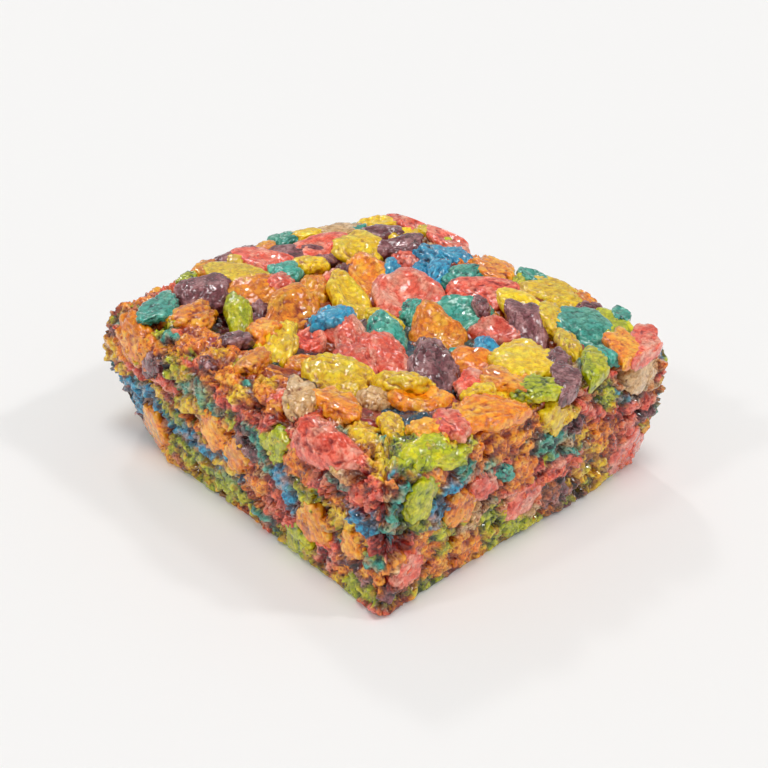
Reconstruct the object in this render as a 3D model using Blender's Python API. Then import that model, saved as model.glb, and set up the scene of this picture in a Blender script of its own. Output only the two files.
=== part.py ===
"""Cereal treat: a knife-cut block of puffed rice flakes in seven colours, bound with marshmallow.

One solid: a lumpy block of bound cereal with the flakes that show fused on at their real size.
Metres, +Z up. The origin is the middle of the flat base, and the four cut sides face X and Y.
"""

import math
import random

import bmesh
import bpy
from mathutils import Euler, Matrix, Vector, noise

MM = 0.001

# Driving dimensions of the whole treat.
WIDTH = 78 * MM
DEPTH = 86 * MM
HEIGHT = 28.5 * MM

# The plan: close corners, a back side that bows out, and a right side that the knife left askew,
# so that the front is narrower than the back.
CORNER_RADIUS = 3 * MM
BACK_BOW = 4 * MM
NARROWING = 3.5 * MM

# Corners that are worn at the foot or at the head, each given by its X and Y side, and how far the foot
# of each side is hollow between its corners.
WORN_CORNERS = {(-1, 1): (7 * MM, 0), (1, -1): (4.5 * MM, 0), (1, 1): (0, 3 * MM)}
WORN_REACH = 30 * MM
FOOT_HOLLOW = 1.5 * MM
FOOT_HEIGHT = 14 * MM
HEAD_HEIGHT = 6 * MM

# The bound block that carries the flakes: how far it lies inside the treat, and its rounding.
SIDE_COVER = 1.6 * MM
TOP_COVER = 3.6 * MM
TOP_EDGE_RADIUS = 4 * MM
BASE_EDGE_RADIUS = 1.6 * MM
CROWN = 1.6 * MM
BLOCK_CUTS = 9
LUMP_HEIGHT = 1.0 * MM
LUMP_LENGTH = 8 * MM

# Flakes: the range of each size, and how they are spaced over the top and the cut sides.
FLAKE_LENGTH = (9.0 * MM, 13.0 * MM)
FLAKE_WIDTH_SHARE = (0.66, 0.92)
FLAKE_THICKNESS = (2.6 * MM, 3.8 * MM)
FLAKE_SIDES = 6
FLAKE_OUTLINE_SPREAD = 0.13
RIM_SHARE = 0.68
TOP_PITCH = 9.6 * MM
TOP_ROW_PITCH = 7.2 * MM
TOP_EDGE_MARGIN = 4.0 * MM
TOP_RISE = 1.0 * MM
SIDE_MARGIN = 2.8 * MM
SIDE_PITCH = 13.6 * MM
SIDE_ROW_PITCH = 4.8 * MM
LOWEST_FLAKE = 3.0 * MM
BASE_CLEARANCE = 0.4 * MM
TRIM_SPREAD = 0.9 * MM
PLACE_SPREAD = 1.3 * MM
TOP_TILT = math.radians(20)
SIDE_TILT = math.radians(34)

SEED = 31
NODE_NAME = "treat"

# Flake colours, with how often each is drawn.
COLOURS = {
    "red": ((0.72, 0.09, 0.06), 5),
    "orange": ((0.85, 0.28, 0.02), 7),
    "yellow": ((0.85, 0.60, 0.03), 5),
    "lime": ((0.42, 0.58, 0.04), 4),
    "teal": ((0.02, 0.28, 0.33), 5),
    "plum": ((0.12, 0.03, 0.06), 3),
    "cream": ((0.62, 0.50, 0.36), 2),
}
BINDER_COLOUR = (0.55, 0.20, 0.06)
ROUGHNESS = 0.35


def clear_scene():
    for obj in list(bpy.data.objects):
        bpy.data.objects.remove(obj, do_unlink=True)


def make_material(name, colour):
    material = bpy.data.materials.new(name)
    material.use_nodes = True
    shader = material.node_tree.nodes["Principled BSDF"]
    shader.inputs["Base Color"].default_value = (*colour, 1)
    shader.inputs["Roughness"].default_value = ROUGHNESS
    shader.inputs["Metallic"].default_value = 0
    return material


def top_height(x, y):
    """Height of the block's top: highest in the middle, and lower towards each corner."""
    u, v = 2 * x / WIDTH, 2 * y / DEPTH
    return HEIGHT - TOP_COVER - CROWN * (u * u + v * v) / 2


def worn_away(x, y, z):
    """How far the sides are drawn in at a height, at their foot and near the head of worn corners."""
    foot = max(0, 1 - z / FOOT_HEIGHT)
    head = max(0, 1 - (HEIGHT - z) / HEAD_HEIGHT)
    along = min(1, abs(2 * x / WIDTH), abs(2 * y / DEPTH))
    deepest = FOOT_HOLLOW * foot * (1 - along ** 2)
    for (side_x, side_y), (foot_depth, head_depth) in WORN_CORNERS.items():
        distance = math.hypot(x - side_x * WIDTH / 2, y - side_y * DEPTH / 2)
        deepest = max(deepest, (foot_depth * foot + head_depth * head) * (1 - distance / WORN_REACH))
    return deepest


def inside_plan(x, y, inset):
    """Draws a place in to the treat's plan, less an inset, and leaves it alone where it is inside."""
    lean = NARROWING / 2 * (0.5 - y / DEPTH)
    x += lean
    half_width = WIDTH / 2 - lean - inset
    half_depth = DEPTH / 2 - inset
    if y > 0:
        half_depth -= BACK_BOW * min(1, abs(2 * x / WIDTH)) ** 2
    across, along = min(abs(x), half_width), min(abs(y), half_depth)
    past_x = max(across - (half_width - CORNER_RADIUS), 0)
    past_y = max(along - (half_depth - CORNER_RADIUS), 0)
    past = math.hypot(past_x, past_y)
    if past > CORNER_RADIUS:
        across -= past_x * (1 - CORNER_RADIUS / past)
        along -= past_y * (1 - CORNER_RADIUS / past)
    return math.copysign(across, x) - lean, math.copysign(along, y)


def rounded(distance, radius):
    """How far an edge of this radius draws in, at a distance past the start of its rounding."""
    reach = min(max(distance, 0), radius)
    return radius - math.sqrt(radius * radius - reach * reach)


def block_point(cube_point):
    """Carries a point of a cube with sides of 2 to the block's rounded and crowned form."""
    x, y = cube_point.x * WIDTH / 2, cube_point.y * DEPTH / 2
    top = top_height(x, y)
    z = (cube_point.z + 1) / 2 * top
    edge = max(
        rounded(z - (top - TOP_EDGE_RADIUS), TOP_EDGE_RADIUS),
        rounded(BASE_EDGE_RADIUS - z, BASE_EDGE_RADIUS),
    )
    return Vector((*inside_plan(x, y, SIDE_COVER + edge + worn_away(x, y, z)), z))


def make_block(material):
    """The bound block: a rounded box with lumps as large as flakes, and a flat base."""
    mesh = bpy.data.meshes.new(NODE_NAME)
    bm = bmesh.new()
    bmesh.ops.create_cube(bm, size=2)
    bmesh.ops.subdivide_edges(bm, edges=bm.edges[:], cuts=BLOCK_CUTS, use_grid_fill=True)
    for vert in bm.verts:
        vert.co = block_point(vert.co)
    bm.normal_update()
    for vert in bm.verts:
        if vert.co.z > BASE_EDGE_RADIUS / 2:
            vert.co += vert.normal * LUMP_HEIGHT * noise.noise(vert.co / LUMP_LENGTH)
    base = [face for face in bm.faces if all(vert.co.z < MM / 100 for vert in face.verts)]
    bmesh.ops.dissolve_faces(bm, faces=base)
    bm.to_mesh(mesh)
    bm.free()
    mesh.materials.append(material)
    block = bpy.data.objects.new(NODE_NAME, mesh)
    bpy.context.scene.collection.objects.link(block)
    return block


def flake_mesh(name, rng, material):
    """A flake as a thick uneven disc: a wide middle ring between two smaller rims."""
    length = rng.uniform(*FLAKE_LENGTH)
    width = length * rng.uniform(*FLAKE_WIDTH_SHARE)
    thickness = rng.uniform(*FLAKE_THICKNESS)
    reach = [1 + rng.uniform(-1, 1) * FLAKE_OUTLINE_SPREAD for _ in range(FLAKE_SIDES)]
    bm = bmesh.new()
    rings = []
    for share, z in ((RIM_SHARE, -thickness / 2), (1, 0), (RIM_SHARE, thickness / 2)):
        ring = []
        for side, out in enumerate(reach):
            angle = math.tau * side / FLAKE_SIDES
            x = math.cos(angle) * out * share * length / 2
            y = math.sin(angle) * out * share * width / 2
            ring.append(bm.verts.new((x, y, z)))
        rings.append(ring)
    for low, high in zip(rings, rings[1:]):
        for side in range(FLAKE_SIDES):
            after = (side + 1) % FLAKE_SIDES
            bm.faces.new((low[side], low[after], high[after], high[side]))
    bm.faces.new(rings[0][::-1])
    bm.faces.new(rings[-1])
    mesh = bpy.data.meshes.new(name)
    bm.to_mesh(mesh)
    bm.free()
    mesh.materials.append(material)
    return mesh


def add_flake(collection, rng, materials, weights, place, tilt):
    """One flake at a place, trimmed where the knife, the pan and the pressed top ended it."""
    material = rng.choices(materials, weights)[0]
    mesh = flake_mesh(f"flake_{len(collection.objects)}", rng, material)
    turn = Euler((rng.uniform(-tilt, tilt), rng.uniform(-tilt, tilt), rng.uniform(0, math.tau)))
    mesh.transform(Matrix.Translation(place) @ turn.to_matrix().to_4x4())
    short = rng.uniform(0, TRIM_SPREAD)
    for vert in mesh.vertices:
        x, y, z = vert.co
        x, y = inside_plan(x, y, short + worn_away(x, y, z))
        z = min(max(z, short / 2 + BASE_CLEARANCE), HEIGHT - short)
        vert.co = x, y, z
    collection.objects.link(bpy.data.objects.new(mesh.name, mesh))


def spread_evenly(low, high, pitch):
    """Places at about this pitch between two limits, ends included."""
    count = max(2, round((high - low) / pitch) + 1)
    return [low + (high - low) * index / (count - 1) for index in range(count)]


def jitter(rng):
    return rng.uniform(-PLACE_SPREAD, PLACE_SPREAD)


def add_top_flakes(collection, rng, materials, weights):
    """Staggered rows of flakes lying nearly flat over the crowned top."""
    half_x, half_y = WIDTH / 2 - TOP_EDGE_MARGIN, DEPTH / 2 - TOP_EDGE_MARGIN
    for row, row_y in enumerate(spread_evenly(-half_y, half_y, TOP_ROW_PITCH)):
        shift = TOP_PITCH / 4 * (1 if row % 2 else -1)
        for column_x in spread_evenly(-half_x, half_x, TOP_PITCH):
            x, y = column_x + shift + jitter(rng), row_y + jitter(rng)
            x, y = inside_plan(x, y, TOP_EDGE_MARGIN)
            add_flake(collection, rng, materials, weights, (x, y, top_height(x, y) + TOP_RISE), TOP_TILT)


def places_round_the_sides(pitch, shift):
    """Places at about this pitch along the four sides, each moved on by a share of the pitch."""
    corners = [(-1, -1), (1, -1), (1, 1), (-1, 1)]
    for start, end in zip(corners, corners[1:] + corners[:1]):
        count = round((WIDTH if start[1] == end[1] else DEPTH) / pitch)
        for index in range(count):
            share = (index + shift) / count
            yield (
                WIDTH / 2 * (start[0] + (end[0] - start[0]) * share),
                DEPTH / 2 * (start[1] + (end[1] - start[1]) * share),
            )


def add_side_flakes(collection, rng, materials, weights):
    """Staggered rows of flakes round the cut sides, each trimmed near the plane of its cut."""
    highest = HEIGHT - TOP_COVER - TOP_EDGE_RADIUS
    for row, z in enumerate(spread_evenly(LOWEST_FLAKE, highest, SIDE_ROW_PITCH)):
        for x, y in places_round_the_sides(SIDE_PITCH, shift=0.5 * (row % 2)):
            x, y = x + jitter(rng), y + jitter(rng)
            x, y = inside_plan(x, y, SIDE_MARGIN + worn_away(x, y, z))
            add_flake(collection, rng, materials, weights, (x, y, z + jitter(rng) / 2), SIDE_TILT)


def fuse(block, collection):
    """Joins every flake to the block in one union, and removes the flakes' own objects."""
    union = block.modifiers.new("fuse_flakes", "BOOLEAN")
    union.operation = "UNION"
    union.operand_type = "COLLECTION"
    union.collection = collection
    union.solver = "MANIFOLD"
    union.material_mode = "TRANSFER"
    graph = bpy.context.evaluated_depsgraph_get()
    fused = bpy.data.meshes.new_from_object(block.evaluated_get(graph))
    block.modifiers.clear()
    block.data = fused
    fused.name = NODE_NAME
    for obj in list(collection.objects):
        bpy.data.objects.remove(obj, do_unlink=True)
    bpy.data.collections.remove(collection)


def tidy_union(mesh):
    """Splits the union's faces into triangles, fills sealed hollows and drops loose flakes."""
    bm = bmesh.new()
    bm.from_mesh(mesh)
    on_straight_edges = [vert for vert in bm.verts if len(vert.link_edges) == 2]
    bmesh.ops.dissolve_verts(bm, verts=on_straight_edges)
    bmesh.ops.triangulate(bm, faces=bm.faces[:], quad_method="BEAUTY", ngon_method="BEAUTY")
    unseen = set(bm.faces)
    shells = []
    while unseen:
        shell, waiting = [], [unseen.pop()]
        while waiting:
            face = waiting.pop()
            shell.append(face)
            for edge in face.edges:
                if len(edge.link_faces) == 2:
                    waiting += [other for other in edge.link_faces if other in unseen]
                    unseen.difference_update(edge.link_faces)
        shells.append(shell)
    shells.sort(key=len)
    for shell in shells[:-1]:
        bmesh.ops.delete(bm, geom=shell, context="FACES")
    bm.to_mesh(mesh)
    bm.free()


def fit_to_size(mesh):
    """Brings the fused treat to its driving dimensions, centred on its flat base."""
    size = Vector((WIDTH, DEPTH, HEIGHT))
    low = Vector(min(vert.co[axis] for vert in mesh.vertices) for axis in range(3))
    high = Vector(max(vert.co[axis] for vert in mesh.vertices) for axis in range(3))
    for vert in mesh.vertices:
        for axis in range(3):
            share = (vert.co[axis] - low[axis]) / (high[axis] - low[axis])
            vert.co[axis] = size[axis] * (share if axis == 2 else share - 0.5)
    mesh.update()


def main():
    clear_scene()
    rng = random.Random(SEED)
    materials = [make_material(name, colour) for name, (colour, _) in COLOURS.items()]
    weights = [weight for _, weight in COLOURS.values()]
    block = make_block(make_material("binder", BINDER_COLOUR))
    flakes = bpy.data.collections.new("flakes")
    bpy.context.scene.collection.children.link(flakes)
    add_top_flakes(flakes, rng, materials, weights)
    add_side_flakes(flakes, rng, materials, weights)
    fuse(block, flakes)
    tidy_union(block.data)
    fit_to_size(block.data)


main()
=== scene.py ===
"""Cereal treat: glazed rice flakes in eight colours over a porous, knife-cut crumb.

Shapes are worked out in millimetres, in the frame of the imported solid, and become metres in make_object.
The camera is fitted to the photograph, so that a flake read there by its pixel can be put where it lies.
"""

import math
from collections import namedtuple

import bmesh
import bpy
import numpy as np
from mathutils import Matrix, Vector
from mathutils.bvhtree import BVHTree


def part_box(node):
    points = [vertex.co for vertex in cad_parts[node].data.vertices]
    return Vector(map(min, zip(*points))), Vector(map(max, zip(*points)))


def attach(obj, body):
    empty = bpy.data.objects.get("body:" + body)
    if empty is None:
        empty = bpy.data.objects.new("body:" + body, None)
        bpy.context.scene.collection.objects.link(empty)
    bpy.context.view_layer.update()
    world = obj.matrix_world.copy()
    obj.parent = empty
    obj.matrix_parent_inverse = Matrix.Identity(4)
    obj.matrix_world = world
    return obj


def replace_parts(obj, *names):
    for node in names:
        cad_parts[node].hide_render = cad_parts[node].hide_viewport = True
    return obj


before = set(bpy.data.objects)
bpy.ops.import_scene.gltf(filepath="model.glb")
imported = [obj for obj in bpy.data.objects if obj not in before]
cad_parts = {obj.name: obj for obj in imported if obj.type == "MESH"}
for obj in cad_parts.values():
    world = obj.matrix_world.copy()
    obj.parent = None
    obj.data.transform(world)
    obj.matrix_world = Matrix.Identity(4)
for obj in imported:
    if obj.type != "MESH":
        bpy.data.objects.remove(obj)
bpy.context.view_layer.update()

MM = 0.001
NODE = "treat"
low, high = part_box(NODE)
WIDTH, DEPTH, HEIGHT = ((high - low) / MM)
UP = np.array((0.0, 0.0, 1.0))

# The camera, fitted to the block's corners in the photograph. Places are in millimetres.
CAMERA_AT = np.array((-147.06, -156.11, 130.53))
CAMERA_LOOK = np.array((-1.49, -2.71, 13.65))
CAMERA_ROLL = math.radians(1.5)
FOCAL_PIXELS = 1244
PHOTO_SIZE = 768
SENSOR_MM = 36

# The plan of the block: a front that is narrower than the back, which bows out, feet that are a little
# hollow between the corners, and worn feet and heads of some corners, as in the solid.
CORNER_RADIUS = 3
BACK_BOW = 4
NARROWING = 3.5
WORN_CORNERS = {(-1, 1): (7, 0), (1, -1): (4.5, 0), (1, 1): (0, 3)}
WORN_REACH = 30
FOOT_HEIGHT = 14
FOOT_HOLLOW = 1.5
HEAD_HEIGHT = 6

# The crumb core under the flakes. Its top dips from a ridge round the edges to a lower middle.
CORE_INSET = 0.3
CORE_EDGE_HEIGHT = 26.6
CORE_MIDDLE_HEIGHT = 21.6
TOP_EDGE_RADIUS = 4.5
BASE_EDGE_RADIUS = 0.6
DIP_START, DIP_END = 8, 16
TOP_BAND = 13
CORE_STEP = 0.35
CROWN = 1.2

# In millimetres, how far a cut flake of level 1 stands out of the crumb, and how deep the grooves between
# flakes, the scattered hollows and those read from the photograph go.
PATCH_RELIEF, GROOVE_DEPTH, HOLLOW_DEPTH, DENT_DEPTH = 0.7, 0.7, 1.9, 2.2

# Linear colours: the usual one, the one that some flakes tend to and that raised parts take partly as painted
# sheen, and a darker one that pits take as painted shade.
PALETTE = {
    "red": ((0.88, 0.15, 0.085), (0.92, 0.42, 0.30), (0.30, 0.008, 0.006)),
    "orange": ((0.92, 0.31, 0.008), (0.93, 0.47, 0.035), (0.38, 0.05, 0.002)),
    "yellow": ((0.92, 0.61, 0.006), (0.90, 0.68, 0.03), (0.48, 0.18, 0.003)),
    "lime": ((0.48, 0.53, 0.004), (0.72, 0.66, 0.010), (0.08, 0.13, 0.002)),
    "teal": ((0.05, 0.38, 0.30), (0.16, 0.50, 0.37), (0.002, 0.05, 0.055)),
    "blue": ((0.02, 0.34, 0.55), (0.08, 0.47, 0.66), (0.001, 0.03, 0.08)),
    "plum": ((0.20, 0.055, 0.065), (0.46, 0.23, 0.23), (0.022, 0.003, 0.005)),
    "cream": ((0.70, 0.44, 0.20), (0.80, 0.58, 0.36), (0.32, 0.11, 0.03)),
}

# How often each colour is drawn: for crumb and scattered flakes, and for flakes deep in the gaps.
FILL_SHARES = {"red": 5, "orange": 8, "yellow": 5, "lime": 4, "teal": 3, "blue": 2, "plum": 3, "cream": 2}
GAP_SHARES = {"red": 4, "orange": 4, "plum": 2, "teal": 1, "blue": 1, "yellow": 1}

# The amber that soaks into the crumb in blots, and the painted shade that the colours of flakes deep in gaps,
# and of those that plug them, are multiplied by.
STAIN = np.array((0.82, 0.23, 0.008))
STAIN_SHARE = 0.5
PAINTED_GAP_SHADE = np.array((0.42, 0.20, 0.20))
PAINTED_PLUG_SHADE = np.array((0.96, 0.88, 0.88))

# How each kind of flake is formed. Its thickness, lumps and blisters are in millimetres, and a lower puff
# makes it fuller. The rest are shares: how uneven its outline is, how high its rim, how deep its dish and how
# far its ends bend down, of half its thickness, and how much of the popped grain it has.
Form = namedtuple("Form", "thick outline puff rim dish bend lump blister crumb")
FORMS = {
    "disc": Form(2.6, 0.11, 0.68, 0.35, 0.25, 0.10, 0.60, 0.17, 0.16),
    "pebble": Form(3.4, 0.13, 0.76, 0.00, 0.00, 0.15, 0.85, 0.20, 0.20),
    "bean": Form(2.9, 0.10, 0.78, 0.00, 0.00, 0.35, 0.65, 0.16, 0.16),
    "leaf": Form(2.0, 0.10, 0.72, 0.15, 0.35, 0.90, 0.50, 0.14, 0.12),
    "torn": Form(3.6, 0.14, 0.78, 0.00, 0.00, 0.20, 0.70, 0.18, 0.70),
    "ring": Form(2.8, 0.10, 0.72, 0.75, 0.65, 0.10, 0.60, 0.14, 0.10),
}

# A flake read from the photograph: its middle, its length along its slant and its breadth there in pixels, the
# slant in degrees, positive where it rises to the right, and its form. All pieces of the cut sides are torn.
Seen = namedtuple("Seen", "colour x y across down slant form", defaults=("torn",))
TOP_FLAKES = [Seen(*row) for row in (
    ("red", 399, 221, 22, 12, 0, "pebble"),
    ("red", 416, 226, 26, 14, -10, "disc"),
    ("yellow", 378, 225, 32, 12, 0, "disc"),
    ("plum", 381, 234, 36, 13, 0, "disc"),
    ("yellow", 433, 231, 18, 10, -10, "pebble"),
    ("plum", 400, 247, 44, 16, 5, "disc"),
    ("yellow", 405, 238, 27, 14, 5, "disc"),
    ("red", 447, 240, 44, 18, -22, "disc"),
    ("lime", 447, 245, 15, 9, 0, "pebble"),
    ("red", 456, 251, 28, 12, -18, "bean"),
    ("teal", 356, 229, 15, 10, 0, "pebble"),
    ("cream", 338, 233, 45, 15, 5, "pebble"),
    ("yellow", 307, 237, 28, 11, 5, "pebble"),
    ("red", 319, 247, 46, 18, 8, "disc"),
    ("teal", 283, 242, 24, 14, 10, "pebble"),
    ("orange", 266, 248, 18, 12, 10, "pebble"),
    ("plum", 230, 260, 52, 13, 22, "bean"),
    ("red", 264, 261, 50, 20, -5, "disc"),
    ("yellow", 238, 262, 15, 14, 0, "pebble"),
    ("plum", 303, 254, 58, 14, 2, "leaf"),
    ("orange", 205, 270, 24, 15, 20, "pebble"),
    ("lime", 187, 281, 18, 18, 20, "torn"),
    ("yellow", 240, 276, 60, 22, -5, "bean"),
    ("orange", 310, 275, 28, 12, 0, "pebble"),
    ("yellow", 312, 265, 32, 14, 5, "bean"),
    ("teal", 286, 273, 24, 21, 0, "pebble"),
    ("yellow", 359, 250, 42, 27, -10, "pebble"),
    ("orange", 371, 281, 50, 42, -25, "disc"),
    ("red", 406, 262, 30, 12, 0, "bean"),
    ("blue", 391, 270, 18, 15, -40, "pebble"),
    ("red", 403, 281, 22, 18, 30, "pebble"),
    ("plum", 341, 275, 20, 13, 20, "pebble"),
    ("red", 333, 285, 28, 18, 10, "pebble"),
    ("blue", 430, 258, 28, 22, -10, "torn"),
    ("blue", 455, 259, 30, 18, -10, "pebble"),
    ("blue", 417, 275, 20, 15, 10, "pebble"),
    ("blue", 437, 277, 30, 27, 25, "torn"),
    ("teal", 462, 278, 32, 20, 8, "pebble"),
    ("teal", 487, 278, 20, 11, -10, "bean"),
    ("orange", 494, 270, 38, 22, -20, "torn"),
    ("lime", 503, 287, 20, 12, -20, "bean"),
    ("lime", 519, 283, 15, 18, -60, "torn"),
    ("teal", 533, 279, 28, 14, -22, "disc"),
    ("yellow", 553, 295, 60, 27, -17, "bean"),
    ("orange", 588, 301, 24, 16, -25, "torn"),
    ("plum", 588, 309, 18, 11, 0, "pebble"),
    ("red", 447, 305, 32, 15, 22, "bean"),
    ("red", 483, 291, 60, 21, -5, "leaf"),
    ("yellow", 519, 305, 40, 20, -20, "disc"),
    ("orange", 492, 325, 16, 22, 60, "torn"),
    ("cream", 511, 334, 18, 13, 0, "pebble"),
    ("red", 409, 300, 62, 42, -10, "ring"),
    ("teal", 412, 313, 20, 28, -70, "torn"),
    ("teal", 461, 316, 52, 25, 2, "disc"),
    ("orange", 254, 294, 54, 26, 8, "bean"),
    ("plum", 205, 293, 48, 26, 12, "pebble"),
    ("red", 281, 283, 20, 18, 0, "pebble"),
    ("orange", 312, 293, 24, 36, -75, "torn"),
    ("plum", 260, 315, 18, 20, 0, "pebble"),
    ("orange", 291, 314, 50, 48, 20, "disc"),
    ("yellow", 349, 300, 54, 30, -30, "disc"),
    ("lime", 239, 318, 36, 34, -45, "bean"),
    ("teal", 158, 309, 40, 26, 25, "torn"),
    ("orange", 196, 317, 36, 32, 20, "torn"),
    ("red", 310, 343, 28, 25, 10, "disc"),
    ("red", 347, 336, 44, 44, -30, "pebble"),
    ("yellow", 384, 321, 36, 16, -20, "bean"),
    ("blue", 332, 319, 32, 25, 10, "pebble"),
    ("teal", 387, 336, 44, 29, -32, "bean"),
    ("orange", 436, 332, 48, 38, -12, "disc"),
    ("plum", 481, 307, 18, 15, -40, "pebble"),
    ("teal", 459, 361, 18, 22, 0, "pebble"),
    ("plum", 526, 327, 46, 38, -35, "pebble"),
    ("yellow", 551, 319, 32, 24, -30, "torn"),
    ("yellow", 568, 345, 40, 20, -48, "bean"),
    ("lime", 616, 330, 58, 24, -32, "leaf"),
    ("teal", 620, 316, 18, 16, -30, "disc"),
    ("teal", 582, 329, 50, 40, -22, "pebble"),
    ("orange", 626, 349, 40, 30, -30, "torn"),
    ("red", 652, 350, 42, 46, -50, "torn"),
    ("lime", 594, 366, 36, 28, -40, "torn"),
    ("teal", 603, 357, 24, 17, -20, "pebble"),
    ("blue", 491, 357, 48, 22, -48, "leaf"),
    ("orange", 498, 382, 52, 26, -18, "torn"),
    ("yellow", 521, 361, 54, 42, -8, "pebble"),
    ("plum", 556, 366, 28, 31, 40, "pebble"),
    ("plum", 578, 390, 34, 28, -25, "pebble"),
    ("red", 469, 383, 22, 24, 0, "torn"),
    ("yellow", 481, 394, 28, 15, -5, "torn"),
    ("yellow", 276, 345, 48, 46, 30, "torn"),
    ("orange", 262, 332, 26, 26, 0, "torn"),
    ("orange", 303, 366, 32, 19, 15, "bean"),
    ("plum", 237, 341, 28, 15, 10, "pebble"),
    ("orange", 254, 362, 34, 22, 25, "torn"),
    ("red", 386, 357, 56, 32, -24, "pebble"),
    ("red", 357, 369, 52, 34, -34, "bean"),
    ("plum", 434, 369, 58, 44, -42, "pebble"),
    ("yellow", 338, 377, 62, 36, -10, "pebble"),
    ("cream", 299, 397, 46, 32, 78, "torn"),
    ("cream", 381, 400, 34, 25, 10, "pebble"),
    ("orange", 419, 401, 50, 30, -5, "disc"),
    ("yellow", 403, 384, 46, 22, -5, "pebble"),
    ("yellow", 391, 426, 36, 24, -48, "leaf"),
    ("orange", 427, 431, 30, 22, 0, "torn"),
    ("orange", 338, 406, 42, 30, -15, "torn"),
    ("red", 451, 425, 30, 26, -20, "pebble"),
    ("orange", 490, 414, 60, 36, 5, "torn"),
    ("lime", 534, 389, 36, 24, 10, "torn"),
    ("lime", 557, 396, 20, 14, 0, "pebble"),
)]

# What the knife laid open on the two sides that the photograph shows: pieces of flake, and hollows.
SIDE_FLAKES = [Seen(*row) for row in (
    ("orange", 132, 340, 52, 34, -35),
    ("blue", 128, 320, 28, 16, -15),
    ("yellow", 108, 347, 16, 30, -70),
    ("hollow", 157, 323, 22, 12, -15),
    ("orange", 196, 344, 52, 24, -25),
    ("plum", 150, 366, 26, 16, -55),
    ("blue", 130, 396, 48, 24, -58),
    ("red", 160, 382, 32, 13, -60),
    ("lime", 176, 370, 28, 18, -50),
    ("orange", 155, 428, 36, 20, -50),
    ("teal", 201, 395, 44, 14, -42),
    ("yellow", 196, 409, 26, 18, -45),
    ("hollow", 188, 419, 20, 12, -40),
    ("orange", 231, 376, 36, 28, -60),
    ("orange", 211, 431, 34, 22, -50),
    ("blue", 192, 444, 74, 13, -44),
    ("lime", 204, 468, 86, 16, -42),
    ("orange", 262, 396, 40, 34, -35),
    ("orange", 235, 457, 34, 26, -50),
    ("plum", 247, 445, 56, 14, -66),
    ("teal", 256, 441, 50, 8, -66),
    ("hollow", 281, 413, 18, 14, -60),
    ("red", 262, 420, 22, 18, -40),
    ("lime", 275, 447, 36, 22, -62),
    ("blue", 286, 490, 58, 15, -70),
    ("orange", 258, 486, 32, 24, -50),
    ("red", 277, 503, 38, 16, -60),
    ("red", 322, 446, 74, 42, -30),
    ("orange", 294, 462, 40, 22, -60),
    ("lime", 304, 494, 42, 18, -56),
    ("red", 321, 485, 30, 16, -50),
    ("orange", 312, 524, 44, 22, -50),
    ("yellow", 342, 524, 28, 14, -62),
    ("red", 363, 500, 42, 34, -35),
    ("red", 327, 548, 46, 18, -52),
    ("lime", 298, 548, 34, 16, -45),
    ("hollow", 334, 437, 24, 14, -20),
    ("hollow", 358, 478, 16, 12, -30),
    ("yellow", 361, 433, 34, 28, -50),
    ("teal", 381, 434, 14, 22, -80),
    ("hollow", 379, 542, 14, 20, -70),
    ("plum", 344, 564, 20, 16, -40),
    ("orange", 350, 546, 30, 18, -50),
    ("lime", 354, 588, 30, 16, -50),
    ("cream", 338, 468, 40, 16, -45),
    ("red", 236, 415, 24, 14, -45),
    ("lime", 436, 452, 70, 30, 12),
    ("lime", 404, 462, 30, 44, 80),
    ("hollow", 411, 427, 18, 16, 0),
    ("teal", 399, 512, 50, 20, 68),
    ("cream", 388, 500, 30, 12, 70),
    ("hollow", 402, 546, 30, 16, -20),
    ("lime", 422, 500, 46, 22, 60),
    ("orange", 438, 476, 34, 22, 30),
    ("blue", 441, 505, 46, 12, 56),
    ("lime", 447, 536, 34, 16, 68),
    ("orange", 460, 510, 36, 24, 40),
    ("lime", 502, 531, 54, 26, 28),
    ("cream", 474, 517, 34, 14, 45),
    ("plum", 561, 494, 38, 30, 30),
    ("red", 523, 500, 40, 20, 25),
    ("red", 558, 467, 52, 18, 15),
    ("teal", 562, 444, 46, 26, 20),
    ("plum", 572, 430, 30, 14, 10),
    ("teal", 506, 474, 16, 22, 60),
    ("teal", 466, 470, 24, 16, 10),
    ("orange", 522, 472, 24, 32, 70),
    ("orange", 513, 430, 62, 50, 20),
    ("yellow", 556, 418, 30, 24, 20),
    ("red", 596, 408, 20, 32, 70),
    ("hollow", 621, 412, 14, 22, 70),
    ("lime", 608, 400, 18, 34, 75),
    ("red", 632, 422, 24, 30, 60),
    ("red", 626, 452, 44, 24, 20),
    ("teal", 659, 404, 16, 24, 60),
    ("orange", 652, 425, 22, 30, 70),
    ("yellow", 594, 470, 36, 22, 30),
    ("cream", 641, 374, 36, 28, 30),
    ("orange", 470, 545, 44, 22, 30),
    ("orange", 441, 568, 52, 24, 28),
    ("lime", 433, 584, 36, 14, 26),
    ("red", 408, 570, 34, 22, 20),
    ("cream", 395, 568, 18, 16, 0),
    ("plum", 391, 597, 20, 16, 0),
    ("orange", 490, 455, 34, 24, 20),
    ("red", 484, 488, 30, 18, 40),
    ("teal", 172, 337, 20, 10, -20),
    ("lime", 190, 354, 22, 10, -30),
    ("yellow", 216, 352, 20, 10, -35),
    ("plum", 205, 364, 18, 10, -40),
    ("lime", 240, 366, 18, 10, -40),
    ("teal", 247, 384, 18, 10, -40),
    ("yellow", 268, 384, 20, 12, -40),
    ("red", 280, 394, 16, 12, -40),
    ("red", 182, 333, 18, 9, -20),
    ("yellow", 130, 326, 22, 12, -20),
)]

# How high the middles of the flakes of the top and of those that fill in between them may lie, and the
# height from which all that stands higher is pressed down softly.
HIGHEST_SEEN, HIGHEST_FILLER = HEIGHT - 1.4, HEIGHT - 3.4
PRESSED_HEIGHT = HEIGHT - 1.0

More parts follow.
